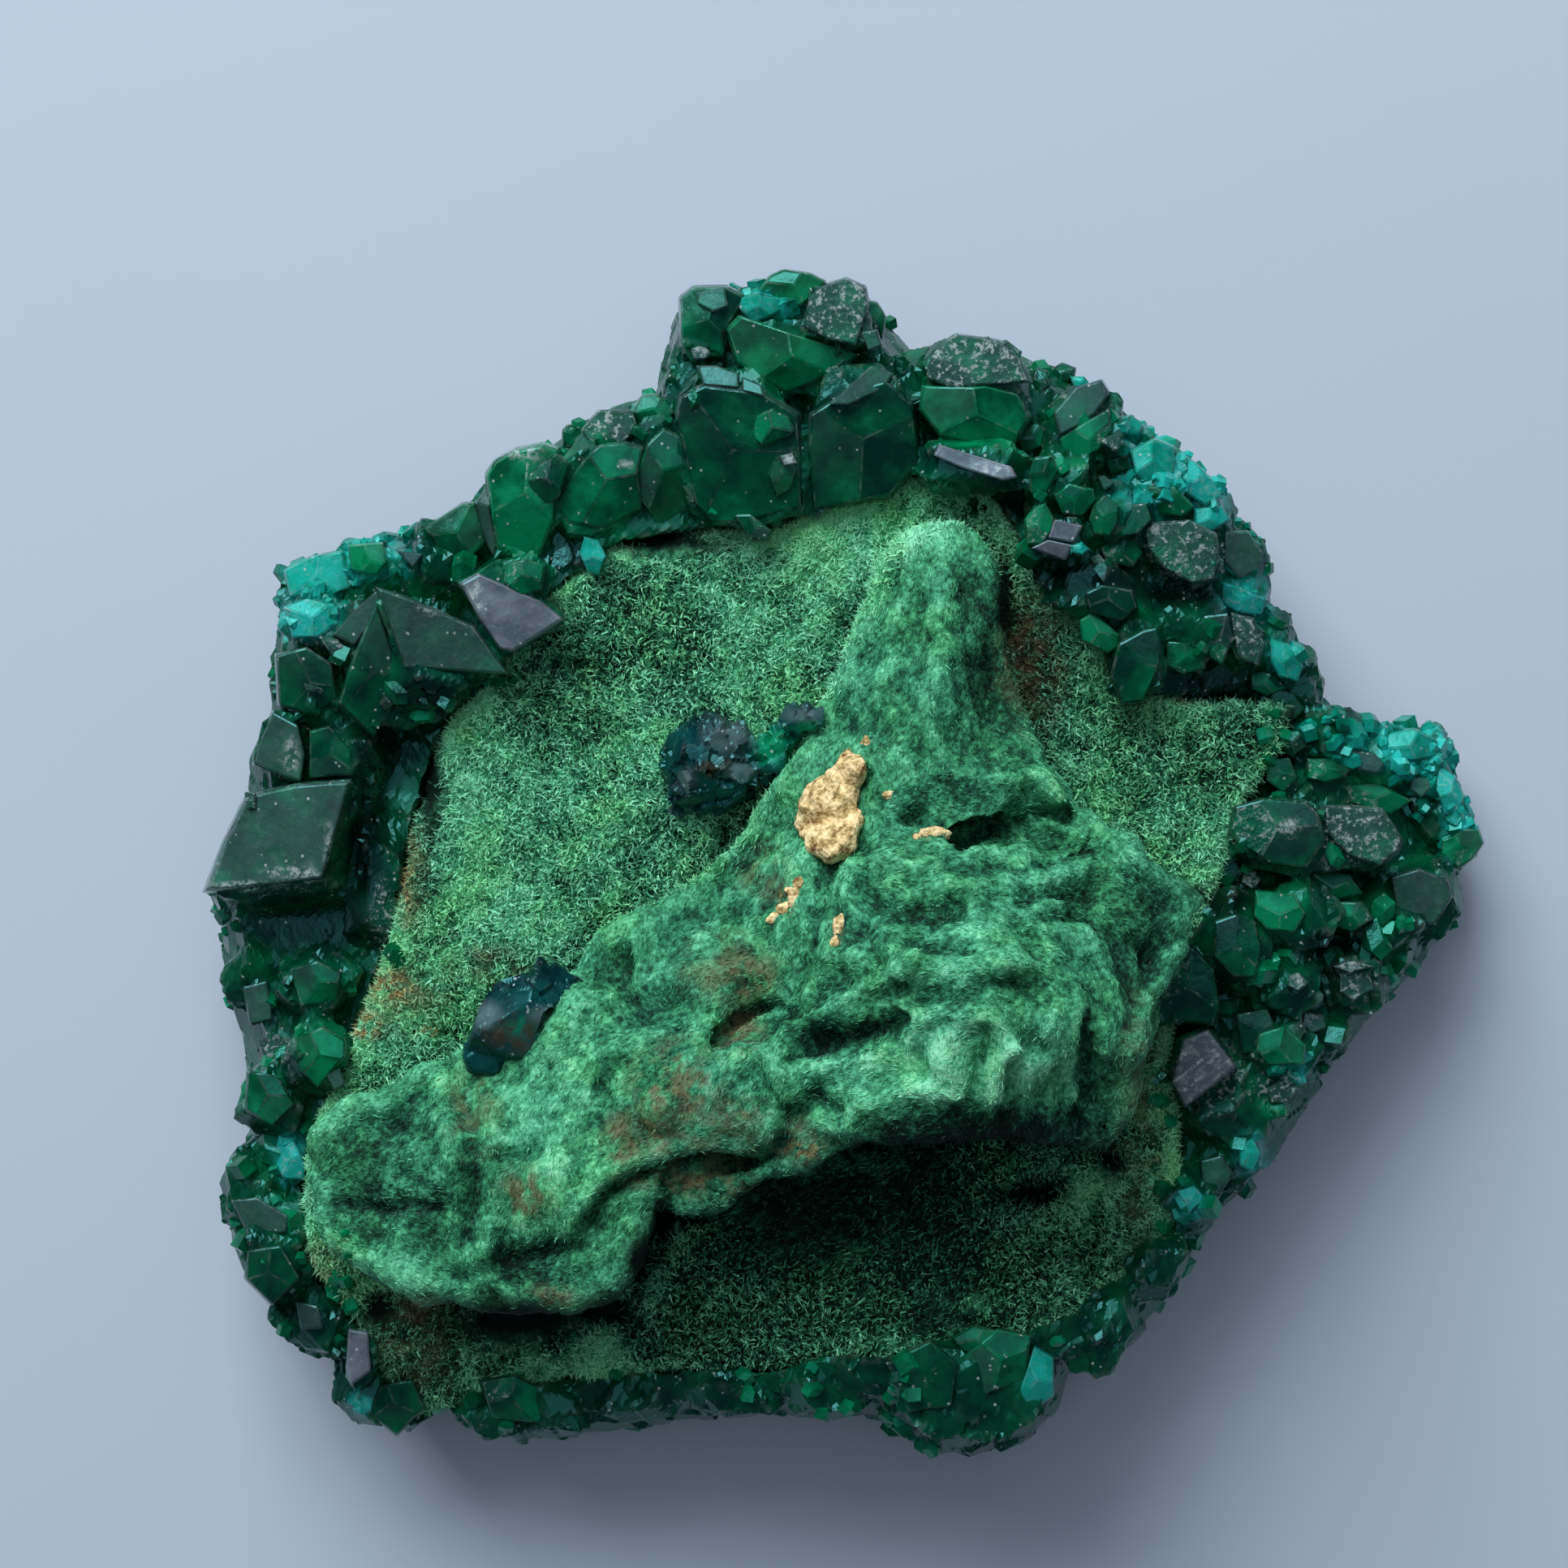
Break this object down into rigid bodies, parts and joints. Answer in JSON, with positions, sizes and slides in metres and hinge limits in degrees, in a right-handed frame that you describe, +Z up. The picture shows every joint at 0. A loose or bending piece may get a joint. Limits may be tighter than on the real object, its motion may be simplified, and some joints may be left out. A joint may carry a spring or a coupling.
{
  "type": "dioptase specimen",
  "caption": "Natural hand specimen: emerald-green dioptase crystals in a crust round a lumpy, fibrous malachite hill, lying on its broken back.",
  "frame": {"origin": "middle of the specimen's box, on the flat foot it lies on", "axes": "+X along the longest extent, towards the pointed lobe on the right in the picture; +Z up, out of the face with the crystals; +Y across"},
  "size_m": [0.046, 0.0398, 0.0179],
  "materials": {
    "malachite": "fibrous matte",
    "dioptase": "glassy, clear in thin edges",
    "dioptase_dark": "glassy",
    "dioptase_weathered": "satin with a brown crust",
    "limonite": "sandy matte"
  },
  "bodies": {
    "root": {"malachite_matrix": "malachite", "dioptase_crust": "dioptase", "dioptase_ball_cluster": "dioptase_dark", "ledge_crystal": "dioptase_weathered", "limonite_patch": "limonite"}
  },
  "joints": []
}
